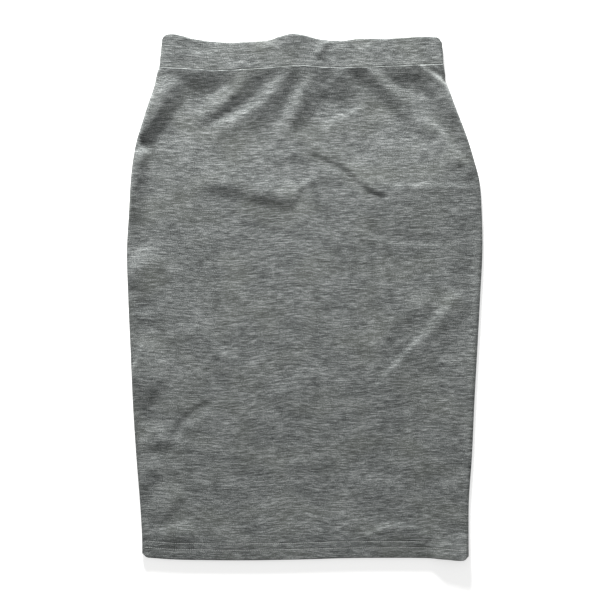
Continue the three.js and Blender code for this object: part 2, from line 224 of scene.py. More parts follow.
def cloth_sheet(name, points, wall, inward, level=0):
    """A sheet of cloth on a grid of points, made a wall of this thickness.

    Its UV map is its flat cut, in which the row called level is straight. Inward is for a piece
    that faces down.
    """
    rows, columns = points.shape[:2]
    bm = bmesh.new()
    bm.loops.layers.uv.new("cut")
    bmesh.ops.create_grid(
        bm, x_segments=columns - 1, y_segments=rows - 1, size=0.5, calc_uvs=True
    )
    mesh = bpy.data.meshes.new(name)
    bm.to_mesh(mesh)
    bm.free()
    count = rows * columns
    place = np.empty(count * 3)
    mesh.vertices.foreach_get("co", place)
    place = place.reshape(count, 3)
    column = np.rint((place[:, 0] + 0.5) * (columns - 1)).astype(int)
    row = np.rint((0.5 - place[:, 1]) * (rows - 1)).astype(int)
    mesh.vertices.foreach_set("co", (points[row, column] * MM).ravel())
    # the cut's own position of each point, measured along the cloth
    across = np.linalg.norm(np.diff(points, axis=1), axis=-1).cumsum(1)
    along = np.linalg.norm(np.diff(points, axis=0), axis=-1).cumsum(0)
    across = np.pad(across, ((0, 0), (1, 0)))
    across -= across[:, -1:] / 2
    along = np.pad(along, ((1, 0), (0, 0)))
    along -= along[level]
    corner = np.empty(len(mesh.loops), dtype=np.int32)
    mesh.loops.foreach_get("vertex_index", corner)
    uv = np.stack([across[row, column][corner], -along[row, column][corner]], -1) * MM
    mesh.uv_layers["cut"].uv.foreach_set("vector", uv.ravel())
    mesh.polygons.foreach_set("use_smooth", [True] * len(mesh.polygons))
    if inward:
        mesh.flip_normals()
    mesh.update()
    piece = bpy.data.objects.new(name, mesh)
    bpy.context.collection.objects.link(piece)
    solid = piece.modifiers.new("cloth thickness", "SOLIDIFY")
    solid.thickness = wall * MM
    solid.offset = -1
    solid.use_rim = True
    return piece


def linear(hex_colour):
    """An sRGB hex colour as linear red, green, blue and an alpha of 1."""
    parts = [int(hex_colour[i : i + 2], 16) / 255 for i in (1, 3, 5)]
    parts = [p / 12.92 if p <= 0.04045 else ((p + 0.055) / 1.055) ** 2.4 for p in parts]
    return (*parts, 1.0)


def add_node(tree, kind, settings=None, inputs=None):
    """Adds one node: settings are its properties, inputs what its sockets hold or are fed by."""
    node = tree.nodes.new(kind)
    for key, value in (settings or {}).items():
        setattr(node, key, value)
    for key, value in (inputs or {}).items():
        if isinstance(value, bpy.types.NodeSocket):
            tree.links.new(value, node.inputs[key])
        else:
            node.inputs[key].default_value = value
    return node


# Marl jersey: single jersey knitted from yarn spun of pale, mid and dark grey fibre. The short
# light and dark dashes run across the garment because each course of loops does, they gather in
# soft clouds where the yarn is a little paler or darker, and the worn-in face is matte and fuzzy.
PALE_FIBRE = "#969998"
MID_FIBRE = "#5b5e5d"
DARK_FIBRE = "#2c2e2e"
GREEN_CAST = "#5e6159"
SHEEN = "#d4d6d4"
# The patterns that make it up: width and height of one mark in mm, place, detail and roughness.
# The knitted courses are drawn about twice as coarse as they are, so that they show.
MARL = {
    "dashes": (11.5, 1.3, 3.1, 2.0, 0.6),
    "streaks": (26.0, 3.0, 11.7, 2.0, 0.55),
    "clouds": (44.0, 16.0, 23.3, 2.0, 0.55),
    "fuzz": (1.44, 0.9, 5.9, 1.0, 0.55),
    "cast": (60.0, 44.0, 41.0, 1.0, 0.55),
    "courses": (1.1, 1.1, 0.0, 1.0, 0.5),
}
# What each adds to the tone of the fibre and to its relief
TONE = {"dashes": 0.62, "streaks": 0.24, "clouds": 0.17, "fuzz": 0.52}
RELIEF = {"dashes": 0.5, "fuzz": 0.7, "courses": 0.25}
# Sums at which the fibre is darkest, neither dark nor pale, and palest
DARK_TONE, MID_TONE, PALE_TONE = 0.587, 0.775, 0.98
# Where the faint green cast of the cloth begins, where it is fullest, and its share there
CAST_FROM, CAST_FULL, CAST_SHARE = 0.45, 0.75, 0.3
MIX_A, MIX_B, MIX_RESULT = 6, 7, 2  # the sockets of a Mix node that hold colours


def marl_jersey(name, shift):
    """The cloth's material; the shift moves its patterns, so that no two pieces look the same."""
    material = bpy.data.materials.new(name)
    material.use_nodes = True
    tree = material.node_tree
    tree.nodes.clear()
    cut = add_node(tree, "ShaderNodeUVMap", {"uv_map": "cut"}).outputs["UV"]

    patterns = {}
    for mark, (width, height, move, detail, rough) in MARL.items():
        place = {
            "Vector": cut,
            "Scale": (1 / (width * MM), 1 / (height * MM), 1),
            "Location": (shift + move, shift * 1.7 + move, move),
        }
        at = add_node(tree, "ShaderNodeMapping", None, place).outputs["Vector"]
        if mark == "courses":
            rows = {"wave_type": "BANDS", "bands_direction": "Y", "wave_profile": "SIN"}
            loops = {
                "Vector": at,
                "Scale": 0.5,
                "Distortion": 1.2,
                "Detail": detail,
                "Detail Roughness": rough,
            }
            pattern = add_node(tree, "ShaderNodeTexWave", rows, loops)
        else:
            fibre = {"Vector": at, "Scale": 1.0, "Detail": detail, "Roughness": rough}
            pattern = add_node(tree, "ShaderNodeTexNoise", {"noise_dimensions": "3D"}, fibre)
        patterns[mark] = pattern.outputs["Fac"]

    sums = []
    for shares in (TONE, RELIEF):
        so_far = 0.0
        for mark, share in shares.items():
            terms = {0: patterns[mark], 1: share, 2: so_far}
            node = add_node(tree, "ShaderNodeMath", {"operation": "MULTIPLY_ADD"}, terms)
            so_far = node.outputs[0]
        sums.append(so_far)
    tone, relief = sums

    # pale and dark fibre, each where the tone is well above or below its middle
    parts = []
    for value, start, end, most in (
        (tone, MID_TONE, PALE_TONE, 1.0),
        (tone, MID_TONE, DARK_TONE, 1.0),
        (patterns["cast"], CAST_FROM, CAST_FULL, CAST_SHARE),
    ):
        span = {"Value": value, "From Min": start, "From Max": end, "To Min": 0.0, "To Max": most}
        parts.append(add_node(tree, "ShaderNodeMapRange", {"clamp": True}, span).outputs["Result"])
    pale, dark, cast = parts

    colour = linear(MID_FIBRE)
    green = linear(GREEN_CAST)
    pale_fibre = linear(PALE_FIBRE)
    rgba = {"data_type": "RGBA"}
    for over, factor in ((linear(DARK_FIBRE), dark), (pale_fibre, pale)):
        layer = {"Factor": factor, MIX_A: colour, MIX_B: over}
        colour = add_node(tree, "ShaderNodeMix", rgba, layer).outputs[MIX_RESULT]
    layer = {"Factor": pale, MIX_A: green, MIX_B: pale_fibre}
    green = add_node(tree, "ShaderNodeMix", rgba, layer).outputs[MIX_RESULT]
    layer = {"Factor": cast, MIX_A: colour, MIX_B: green}
    colour = add_node(tree, "ShaderNodeMix", rgba, layer).outputs[MIX_RESULT]

    bumps = {"Height": relief, "Strength": 0.35, "Distance": 0.0007}
    finish = {
        "Base Color": colour,
        "Normal": add_node(tree, "ShaderNodeBump", None, bumps).outputs["Normal"],
        "Roughness": 0.94,
        "IOR": 1.45,
        "Specular IOR Level": 0.25,
        "Sheen Weight": 0.12,
        "Sheen Roughness": 0.5,
        "Sheen Tint": linear(SHEEN),
    }
    shader = add_node(tree, "ShaderNodeBsdfPrincipled", None, finish)
    add_node(tree, "ShaderNodeOutputMaterial", None, {"Surface": shader.outputs["BSDF"]})
    return material


def finish_piece(piece, material, slot, *nodes):
    """Gives a piece its material and takes the place of the solids it stands for; slot is not used."""
    piece.data.materials.append(material)
    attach(piece, "root")
    if nodes:
        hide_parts(*nodes)


def side_seam_height(waist):
    return mix(BAND_HEIGHT, SEAM_HEIGHT, np.clip(waist / SEAM_CLIMB, 0, 1))


# Creases that the gathered waist and folding left in the back, as dents from the surface it lies
# on: points of its crest, depth, reach to the left and to the right of the walk along it, and the
# lengths over which it grows and dies away
BACK_FOLDS = [
    ([(-128, 288), (-138, 256), (-152, 214)], 0.9, 14, 12, 6, 26),
    ([(-74, 286), (-70, 258), (-84, 226)], 1.0, 12, 16, 6, 22),
    ([(-28, 290), (-20, 262), (-26, 238)], 0.8, 10, 14, 6, 20),
    ([(38, 290), (34, 250), (48, 204)], 1.0, 16, 12, 6, 30),
    ([(86, 290), (98, 262), (104, 238)], 0.8, 12, 12, 6, 18),
    ([(140, 292), (146, 256), (166, 222)], 0.9, 12, 16, 6, 24),
    ([(-196, 138), (-120, 128), (-40, 131)], 0.5, 8, 20, 30, 24),
    ([(36, 128), (120, 120), (206, 126)], 0.5, 18, 8, 26, 16),
    ([(-206, 20), (-168, 12), (-132, -8)], 0.5, 12, 16, 8, 20),
    ([(208, -44), (176, -60), (138, -66)], 0.5, 14, 12, 8, 20),
    ([(-60, -90), (-18, -126), (46, -142)], 0.5, 18, 14, 22, 24),
    ([(-190, -206), (-160, -222), (-142, -248)], 0.5, 12, 12, 12, 16),
    ([(112, -232), (150, -246), (196, -238)], 0.5, 12, 16, 16, 12),
]


def crest_line(path, steps=22):
    """A smooth line through a crease's few points."""
    points = np.array(path, float)
    at = np.linspace(0, len(points) - 1, steps)
    rows = [(k, *point) for k, point in enumerate(points)]
    return np.stack([curve_through(rows, at, 1), curve_through(rows, at, 2)], -1)


BROAD = 20  # a crest rounded over more than this has two soft slopes
HOLLOW = 1.2  # a straight slope is a little hollow


def crease(x, y, path, rise, left, right, start, end, crisp=4.0):
    """Height of one ridge, whose slopes reach left and right of someone who walks along it.

    The left slope is straight and the right one soft, and a broad crest makes both soft. A rise
    or reach that changes along the walk is given as several values at even distances.
    """
    crest = crest_line(path)
    widest = max(np.max(left), np.max(right))
    reach = math.hypot(widest, math.sqrt(2 * widest * crisp))
    low, high = crest.min(0) - reach, crest.max(0) + reach
    near = (x > low[0]) & (x < high[0]) & (y > low[1]) & (y < high[1])
    px, py = x[near], y[near]
    best = np.full(px.shape, 1e9)
    side = np.zeros(px.shape)
    run = np.zeros(px.shape)
    walked = 0.0
    for here, there in zip(crest[:-1], crest[1:]):
        way = there - here
        size = math.hypot(*way)
        dx, dy = px - here[0], py - here[1]
        t = np.clip((dx * way[0] + dy * way[1]) / size**2, 0, 1)
        away = np.hypot(dx - t * way[0], dy - t * way[1])
        closer = away < best
        best = np.where(closer, away, best)
        side = np.where(closer, way[0] * dy - way[1] * dx, side)
        run = np.where(closer, walked + t * size, run)
        walked += size

    def here_along(value):
        return np.interp(run / walked, np.linspace(0, 1, np.size(value)), np.atleast_1d(value))

    width = np.where(side > 0, here_along(left), here_along(right))
    ends = smooth(run / start) * smooth((walked - run) / end)
    straight = np.clip(1 - (np.hypot(best, crisp) - crisp) / width, 0, 1) ** HOLLOW
    soft = 1 - smooth(best / width)
    slope = np.where((side > 0) & (crisp < BROAD), straight, soft)
    height = np.zeros(x.shape)
    height[near] = here_along(rise) * ends * slope
    return height


STITCH_LINES = (12.8, 20.6)  # height of the two needle lines above the hem's edge
NEEDLE_PULL = 0.26  # how deep they pull the cloth in
GROOVE_WIDTH = 1.3


def hem_grooves(hem):
    """How far the two needle lines pull the cloth in."""
    depth = 0
    for line in STITCH_LINES:
        depth = depth + NEEDLE_PULL * np.exp(-(((hem - line) / GROOVE_WIDTH) ** 2))
    return depth


DENTS_FROM, DENTS_FULL = 6, 14  # how far in from a side seam the dents begin and are whole
BACK_DIP = 0.48  # how deep the back turns in where it is sewn to the waistband
BACK_DIP_WIDTH = 1.8
BACK_GROOVES = 0.6  # the needle lines are shallower where the cloth is pressed on the surface


def back_surface(x, y):
    """Underside of the back panel, before it turns up at its sides."""
    side, waist, hem = distances(x, y)
    dents = sum(crease(x, y, *row) for row in BACK_FOLDS)
    dents = dents * (1 - shoulder(side, DENTS_FROM, DENTS_FULL))
    dip = BACK_DIP * (1 - smooth(waist / BACK_DIP_WIDTH))
    return dents + dip + hem_grooves(hem) * BACK_GROOVES


# The rows lie closer at the seam and, on the front, across the needle lines
OVER_STITCHES = 24  # above the hem's edge
UNDER_STITCHES = 9
LEVEL_DOWN = 150  # below the gathers, where the courses of loops lie level

back_rows = marks(
    (2, 0.5),
    (10, 2),
    (PANEL_LENGTH - OVER_STITCHES, 4.4),
    (PANEL_LENGTH - FOLD_RADIUS, 1.6),
)
back_columns = columns_across(PANEL_WIDTH, 4.2, SIDE_TURN)
x, y = panel_points(back_columns, back_rows)
_, waist, _ = distances(x, y)
z = mix(side_seam_height(waist) - SEAM_GAP / 2, back_surface(x, y), back_columns[2])
back_face = with_hem(np.stack([x, y, z], -1), -normals(x, y, z), back_rows)
back_level = int(np.argmax(back_rows > LEVEL_DOWN))
back_panel = cloth_sheet("back_panel_cloth", back_face, CLOTH, True, back_level)
back_jersey = marl_jersey("marl_jersey_knitted_back", 37.0)
finish_piece(back_panel, back_jersey, "marl_jersey", "back_panel")

# Front panel
# The same jersey, sewn to the back along both sides. The relaxed elastic of the waistband gathers
# it into steep folds that run down and outwards, and folding it away has left creases across the
# hips, two long slanting folds over the thighs, and puckers along the side seams.

LYING = 2.95  # top of the front where it lies flat on the back

# Creases of the front: points of its crest, rise, reach to the left and to the right of the walk
# along it, the lengths over which it grows and dies away, and how round its crest is. Most are
# walked so that the straight left slope turns from the light and the soft right one faces it.
FRONT_FOLDS = [
    # gathers that hang from the waist seam
    ([(-152, 300), (-157, 289), (-161, 279), (-165, 270), (-172, 260), (-180, 246), (-187, 233),
      (-194, 221), (-202, 210), (-214, 202)],
     (0.4, 1.4, 4.2, 7, 7.8, 7.7, 7.2, 6.4, 5.6, 4.6), (24, 24, 24, 23, 22, 20, 18, 17, 16, 15),
     (50, 50, 50, 50, 50, 50, 46, 36, 22, 12), 2, 10, 2.5),
    ([(-126, 312), (-131, 289), (-137, 276), (-146, 263)], (3.6, 3.8, 2.6, 1), 22, 12, 2, 12),
    ([(-62, 312), (-70, 289), (-75, 274), (-94, 252), (-113, 236), (-130, 225), (-142, 217)],
     (5, 5, 5.4, 4.8, 3.6, 2, 0.8), (32, 30, 27, 18, 12, 9, 8), (18, 20, 25, 27, 26, 20, 15), 2, 14),
    ([(-10, 313), (-17, 291), (-22, 280), (-36, 263), (-49, 247), (-68, 233), (-97, 218), (-124, 209)],
     (4.8, 5, 5.2, 4.9, 4.2, 3.2, 2.2, 1), (18, 18, 19, 20, 26, 36, 40, 36),
     (18, 20, 22, 22, 17, 14, 13, 13), 2, 16),
    ([(7, 312), (6, 290), (5, 274), (2, 262), (-6, 243), (-13, 226), (-20, 208)],
     (3.4, 4.4, 5.8, 6, 5, 3, 0.8), (30, 29, 26, 22, 19, 16, 12), (24, 24, 24, 22, 20, 18, 14), 2, 18),
    ([(66, 306), (52, 289), (44, 279), (34, 268), (28, 257), (25, 247)],
     (4.8, 4.8, 4, 2.6, 1.4, 0.6), (16, 18, 22, 26, 30, 32), (14, 14, 14, 13, 12, 12), 2, 12, 6),
    ([(90, 232), (84, 244), (74, 256), (60, 265), (48, 273), (42, 284), (38, 306)],
     (0.4, 1.3, 2.2, 2.5, 2.6, 2.6, 2.6), (18, 20, 22, 24, 26, 30, 34), (14, 15, 15, 15, 13, 12, 12),
     16, 4, 8),
    ([(84, 238), (62, 230), (45, 221), (30, 211), (14, 204)],
     (1.2, 1.9, 2.2, 1.8, 1.2), (40, 54, 60, 54, 40), 13, 12, 14, 20),
    ([(163, 206), (148, 224), (135, 239), (117, 249), (104, 261), (95, 271), (84, 281), (76, 290),
      (58, 312)],
     (0.3, 0.6, 1, 1.9, 3.7, 5.4, 6.2, 6.2, 6), (9, 11, 13, 15, 16, 17, 18, 18, 18),
     (20, 22, 24, 24, 22, 20, 18, 16, 16), 16, 2),
    ([(222, 150), (213, 172), (206, 192), (200, 211), (194, 228), (187, 243), (181, 257), (174, 268),
      (162, 279), (148, 289), (130, 300)],
     (0.6, 1.8, 3.8, 7, 10, 11.8, 11.2, 8.8, 6.4, 4.4, 3), (20, 19, 19, 20, 22, 23, 25, 25, 24, 22, 18),
     (7, 7, 7, 8, 9, 10, 8, 6, 5, 5, 6), 30, 2, 2.5),
    # small ones below and between the gathers
    ([(202, 162), (186, 184), (170, 204), (155, 221), (141, 237)],
     (1.2, 1.9, 1.8, 1.4, 0.8), 20, 9, 14, 14),
    ([(164, 198), (140, 217), (118, 240)], 1.3, 6, 18, 10, 10, 2),
    ([(217, 152), (205, 161), (192, 171), (174, 182)], 1.4, 20, 12, 12, 12),
    ([(-20, 219), (-31, 206), (-40, 191)], 0.7, 12, 12, 8, 10),
    ([(-44, 170), (-22, 178), (-10, 188)], 0.8, 10, 12, 10, 8),
    ([(-2, 213), (-6, 190)], 0.7, 11, 11, 8, 8),
    ([(-122, 196), (-104, 206), (-87, 206)], 0.7, 12, 12, 8, 8),
    # creases across the hips, and the swell between them
    ([(-70, 137), (-90, 141), (-112, 144), (-132, 143)], (1.5, 2.3, 2.1, 1), 12, 30, 12, 16),
    ([(-6, 121), (-22, 126), (-40, 129), (-64, 134), (-88, 139)],
     (2.7, 3.3, 3.2, 2.5, 1.6), (13, 14, 13, 12, 12), 26, 12, 26),
    ([(108, 130), (90, 134), (73, 144), (58, 158), (41, 170), (19, 180), (-3, 190)],
     (2, 2, 1.9, 1.8, 1.5, 1.1, 0.8), 3.4, 26, 14, 14, 1),
    ([(57, 148), (35, 155), (8, 163)], 0.9, 14, 10, 12, 12),
    ([(12, 144), (3, 145), (-5, 139), (-8, 132)], 1.0, 7, 7, 5, 6, 2),
    ([(224, 138), (170, 140), (133, 139), (101, 136)], 0.8, 9, 5, 5, 13),
    ([(6, 136), (95, 135), (158, 136), (226, 137)], 3.8, 92, 112, 90, 13, 30),
    ([(-196, 150), (-130, 152), (-70, 148), (-20, 143)], 2, 62, 96, 40, 40, 30),
    ([(60, 95), (77, 85), (97, 76), (120, 71), (170, 69), (196, 69)], -0.8, 10, 7, 18, 18),
    # long slanting folds over the thighs
    ([(194, 8), (184, -10), (168, -33), (150, -52), (134, -68), (119, -83), (105, -97), (94, -112),
      (81, -132)],
     (2.6, 2.9, 2.7, 2.2, 1.8, 1.4, 1.1), (20, 26, 32, 38, 40), (16, 13, 10, 9, 9), 9, 40),
    ([(164, 2), (150, -8), (135, -18), (115, -36), (97, -56), (84, -74)],
     (1.2, 1.2, 1, 0.7, 0.4), 12, 18, 14, 22),
    ([(-66, -106), (-88, -86), (-109, -68), (-129, -52), (-147, -41), (-170, -30)],
     (0.5, 0.8, 1, 1, 0.9, 0.6), 24, (10, 12, 13, 12, 10), 26, 18),
    ([(20, -82), (4, -100), (-16, -117), (-48, -132)],
     (0.8, 1.3, 1.5, 1.1), (18, 26, 30, 22), (22, 20, 16, 14), 18, 16),
    ([(-66, -5), (-87, 4), (-106, 14)], 0.7, 12, 14, 12, 10),
    ([(-30, -150), (-60, -148), (-92, -158)], 0.5, 22, 26, 20, 24),
    ([(112, 18), (86, 8), (64, -8)], 0.5, 16, 20, 20, 20),
    ([(38, 44), (0, 40), (-36, 52)], 0.4, 26, 30, 26, 26),
    ([(-78, 84), (-112, 70), (-142, 74)], 0.4, 24, 28, 22, 24),
    ([(20, -196), (-12, -210), (-40, -206)], 0.6, 24, 22, 22, 22),
    ([(92, -172), (52, -186), (24, -180)], 0.4, 22, 28, 22, 22),
    ([(176, -196), (128, -210), (92, -206)], 0.5, 30, 32, 26, 26),
    ([(150, -248), (96, -246), (34, -252)], 0.9, 26, 30, 30, 30),
    ([(-52, -232), (-88, -246), (-116, -240)], 0.5, 22, 26, 22, 22),
    ([(-6, -262), (-44, -270), (-84, -266)], 0.4, 20, 20, 22, 22),
    # puckers along the left side seam
    ([(-202, 192), (-207, 172), (-211, 152), (-216, 130), (-221, 106), (-225, 82), (-228, 58)],
     (7, 9.4, 9.6, 8.2, 5.6, 2.6, 0.4), (10, 12, 14, 18, 22, 24, 24), 30, 14, 24, 2),
    ([(-180, 60), (-196, 46), (-211, 36), (-228, 29)],
     (0.8, 2.6, 3.8, 4), (22, 32, 42, 44), (20, 26, 32), 18, 2),
    ([(-184, -22), (-204, -24), (-224, -20)], (0.6, 1, 1.2), 28, 12, 12, 2),
    ([(-174, -122), (-192, -112), (-222, -102)], (1.5, 4.7, 6.4), (30, 44, 52), (40, 60, 80), 18, 2),
    ([(-164, -184), (-180, -180), (-196, -184), (-212, -197)],
     (0.9, 1.8, 2, 2), (9, 10, 12), (22, 30, 34), 10, 4),
    ([(-175, -214), (-190, -218), (-203, -228), (-213, -247)],
     (1.2, 2.7, 3.4, 3), (11, 14, 18), (30, 42, 46), 10, 4),
    ([(-151, -245), (-161, -254), (-176, -271), (-188, -289)],
     (1.2, 2.4, 2.6, 1.5), 10, (32, 40, 40), 8, 12),
    ([(-112, -130), (-130, -138), (-145, -149), (-157, -163), (-164, -178)],
     (-0.8, -1.2, -1.2, -0.8), 15, 9, 12, 8, 20),
    ([(-74, -146), (-92, -134), (-112, -132)], 0.6, 10, 10, 12, 8),
    ([(-157, -225), (-168, -210), (-186, -200)], 0.8, 8, 7, 6, 6),
    # waves near the right side seam and along the hem
    ([(-134, -297), (-156, -299), (-194, -305)], (3.2, 3.9, 2.6), 24, 22, 7, 12),
    ([(-62, -316), (-90, -310), (-124, -313)], 2, 14, 18, 16, 14),
    ([(174, -104), (196, -98), (217, -90)], (0.3, 0.9, 1.5), (18, 22, 24), (30, 38, 44), 18, 2),
    ([(166, -150), (192, -146), (215, -136)], (0.3, 0.9, 1.5), (16, 20, 22), (28, 36, 40), 18, 2),
    ([(170, -246), (189, -242), (211, -236)], (0.3, 0.8, 1.4), (14, 18, 20), (28, 32, 36), 14, 2),
    ([(161, -305), (146, -296), (128, -289), (107, -289), (90, -294), (72, -304)],
     (2.6, 3.3, 3.2, 3.3, 3.2, 2.6), 40, 8, 8, 8),
    ([(226, -336), (197, -334), (172, -331), (148, -328)],
     (8, 7.6, 6.2, 3.8), 16, (62, 58, 48, 36), 2, 24),
]

# Where the front lies higher: by how much, level as far in from the edge as this, and gone by this
OVER_SIDES = (2.2, 3, 14)
OVER_HEM = (2.0, 17, 84)
OVER_WAIST = (6.4, -4, 36)
BLEND = 3  # how sharply the highest of these takes over from the others
SEWN_HEIGHT = 7.0  # of the edge sewn to the waistband, just under the band's face
SEWN_TURN = 1.2  # width over which the cloth turns in to it


def front_height(x, y):
    """Top of the front panel, before it turns in at its edges."""
    side, waist, hem = distances(x, y)
    lies = []
    for (rise, flat, fade), distance in ((OVER_SIDES, side), (OVER_HEM, hem), (OVER_WAIST, waist)):
        lies.append(rise * shoulder(distance, flat, fade))
    folds = sum(crease(x, y, *row) for row in FRONT_FOLDS)
    lies.append(np.maximum(folds, 0))
    return LYING + sum(part**BLEND for part in lies) ** (1 / BLEND) + np.minimum(folds, 0)


def front_surface(x, y):
    """The same with its sewn upper edge and the grooves of its hem."""
    _, waist, hem = distances(x, y)
    turned = 1 - np.sqrt(1 - (1 - np.clip(waist / SEWN_TURN, 0, 1)) ** 2)
    return mix(front_height(x, y), SEWN_HEIGHT, turned) - hem_grooves(hem)


front_rows = marks(
    (1.6, 0.4),
    (4.4, 0.7),
    (10, 1.4),
    (PANEL_LENGTH - OVER_STITCHES, 2.75),
    (PANEL_LENGTH - UNDER_STITCHES, 0.75),
    (PANEL_LENGTH - FOLD_RADIUS, 1.5),
)
front_columns = columns_across(PANEL_WIDTH, 2.7, SIDE_TURN)
x, y = panel_points(front_columns, front_rows)
_, waist, _ = distances(x, y)
z = mix(side_seam_height(waist) + SEAM_GAP / 2, front_surface(x, y), front_columns[2])
front_face = with_hem(np.stack([x, y, z], -1), normals(x, y, z), front_rows)
front_level = int(np.argmax(front_rows > LEVEL_DOWN))
front_panel = cloth_sheet("front_panel_cloth", front_face, CLOTH, False, front_level)
front_jersey = marl_jersey("marl_jersey_knitted", 0.0)
finish_piece(front_panel, front_jersey, "marl_jersey", "front_panel")

# Back and front waistbands
# Each is a strip of the same jersey folded over woven elastic, its folded edge uppermost and both
# raw edges sewn into the waist seam. Relaxed, the elastic leaves soft waves along the top edge.

BAND_LENGTH = 350  # on average, to be divided into columns
BAND_LEFT, BAND_RIGHT = -182.8, 174.8  # its ends at the waist seam
BAND_TURN = 3.8  # how far in from an end the cloth has turned level
BAND_WALL = 3.8  # the whole strip, elastic included
BAND_CLOTH = 0.9
LAY_GAP = 0.35  # between the front band and the back one

# Ends of the band: height, left edge, right edge
BAND_ENDS = [(286, -183.6, 175.0), (310, -181.2, 173.6), (332, -179.0, 171.8)]

# Folded top edge of the band, from left to right
WAIST_EDGE = [
    (-182, 323.5),
    (-179.5, 328.0),
    (-176, 330.8),
    (-168, 331.4),
    (-157, 329.0),
    (-138, 324.6),
    (-100, 320.9),
    (-57, 322.5),
    (-44, 324.4),
    (-32, 328.3),
    (-16, 331.5),
    (0, 329.6),
    (18, 325.0),
    (44, 322.8),
    (70, 325.6),
    (110, 325.8),
    (135, 327.4),
    (165, 328.2),
    (170, 326.2),
    (173.5, 321.0),
]

# Waves of the front band, which lift its top edge: middle, half width, rise
BAND_WAVES = [
    (-164, 42, 3.0),
    (-16, 34, 3.2),
    (62, 26, -0.3),
    (96, 30, 0.8),
    (152, 26, 0.9),
    (-92, 46, -0.6),
]
WAVE_FADE = 22  # length from either end in which they die away
WAVE_BEND = 1.2  # they grow a little faster towards the top edge

# A pinch across it and shallow dents, as the creases of the front
BAND_FOLDS = [
    ([(27, 324), (21, 311), (15, 299)], (2.0, 2.2, 1.2), 7, 9, 4, 7, 1.5),
    ([(-44, 322), (-52, 312), (-66, 304)], (0.5, 0.8, 0.4), 10, 12, 8, 10),
    ([(126, 308), (96, 311), (58, 309)], 0.35, 9, 9, 20, 20),
    ([(-104, 303), (-138, 305), (-172, 303)], 0.5, 8, 9, 16, 14),
]

EDGE_ROWS = (0, 0.2, 0.45, 0.8, 1.3, 2.2)  # height of the lowest rows above the seam
EDGE_DIP = 0.4  # how deep the outer face turns in to the seam
EDGE_TURN = 0.6  # and over what width
OUTER_ROWS = 20  # rows up the rest of the outer face
INNER_ROWS = 9  # and down the inner one
INNER_SQUEEZE = 1.5  # how far in from the outer face's ends the inner face stops
INNER_FOOT = 0.5  # and how far above the seam
LEAST_FOLD = 0.3  # radius of the folded edge where the band is thinnest


def band_strip(name, front, column_step):
    """The folded strip: up its outer face, over the fold and down inside."""
    shares, shifts, lifts = columns_across(BAND_LENGTH, column_step, BAND_TURN)
    low = BAND_WALL + LAY_GAP if front else 0.0
    seam_x = mix(BAND_LEFT, BAND_RIGHT, shares) + shifts
    seam_y = curve_through(WAIST_SEAM, seam_x) + SEAM_GAP / 2
    middle_y = BAND_ENDS[1][0]
    left, right = curve_through(BAND_ENDS, middle_y, 1), curve_through(BAND_ENDS, middle_y, 2)
    top_y = curve_through(WAIST_EDGE, mix(left, right, shares) + shifts)
    inward = np.minimum(seam_x - BAND_LEFT, BAND_RIGHT - seam_x)
    wave = sum(rise * shoulder(np.abs(seam_x - at), 0, half) for at, half, rise in BAND_WAVES)
    wave = wave * smooth((inward - BAND_TURN) / WAVE_FADE) if front else 0 * wave
    full = BAND_WALL * lifts
    sign = 1 if front else -1
    rows = []

    def faces(part):
        """Outer and inner face so far up the band; only the upper part waves."""
        if front:
            grown = part**WAVE_BEND
            return low + wave * grown + full, low + np.maximum(wave, 0) * grown
        return BAND_WALL - full, BAND_WALL + 0 * full

    def row(y, z, squeeze):
        left = curve_through(BAND_ENDS, y, 1)
        right = curve_through(BAND_ENDS, y, 2)
        x = mix(left + squeeze, right - squeeze, shares) + shifts
        folded = sum(crease(x, y, *fold) for fold in BAND_FOLDS) if front and squeeze == 0 else 0
        rows.append(np.stack([x, y, z + folded], -1))

    for up in EDGE_ROWS:
        turned = 1 - math.sqrt(1 - (1 - min(up / EDGE_TURN, 1)) ** 2)
        row(seam_y + up, faces(0)[0] - sign * EDGE_DIP * turned * lifts, 0)
    near, far = faces(1)
    radius = np.maximum(np.abs(near - far) / 2, LEAST_FOLD)
    for part in np.linspace(0, 1, OUTER_ROWS)[1:]:
        row(mix(seam_y + EDGE_ROWS[-1], top_y - radius, part), faces(part)[0], 0)
    for angle in FOLD_ANGLES:
        squeeze = INNER_SQUEEZE * (1 - math.cos(angle)) / 2
        height = (near + far) / 2 + sign * radius * math.cos(angle)
        row(top_y - radius + radius * math.sin(angle), height, squeeze)
    for part in np.linspace(0, 1, INNER_ROWS)[1:]:
        row(mix(top_y - radius, seam_y + INNER_FOOT, part), faces(1 - part)[1], INNER_SQUEEZE)
    return cloth_sheet(name, np.stack(rows)[::-1], BAND_CLOTH, not front, -1)


band_jersey = marl_jersey("marl_jersey_over_elastic", 71.0)
back_band = band_strip("back_waistband_strip", False, 5)
finish_piece(back_band, band_jersey, "waistband_jersey", "back_waistband")
front_band = band_strip("front_waistband_strip", True, 2.4)
finish_piece(front_band, band_jersey, "waistband_jersey", "front_waistband")

# Hem stitching
# Twin-needle stitching in thread that matches the jersey: two rows of short raised stitches
# that run round the hem on the outside, and hold its turned-up edge.

STITCH_PITCH = 2.7  # from one stitch to the next
STITCH_SIZE = (1.0, 0.42, 0.34)  # half length, half width and half height of one stitch
STITCH_FROM, STITCH_TO = -203.0, 204.5  # from side to side
STITCH_MARGIN = 3.5  # the rows stop this far from the side seams
STITCH_STRAY = 0.14  # how far a stitch may lie off its place
FRONT_PROUD = 0.06  # height of a stitch's middle over the cloth that it is sunk in
BACK_SUNK = 0.1  # and on the back, into the cloth


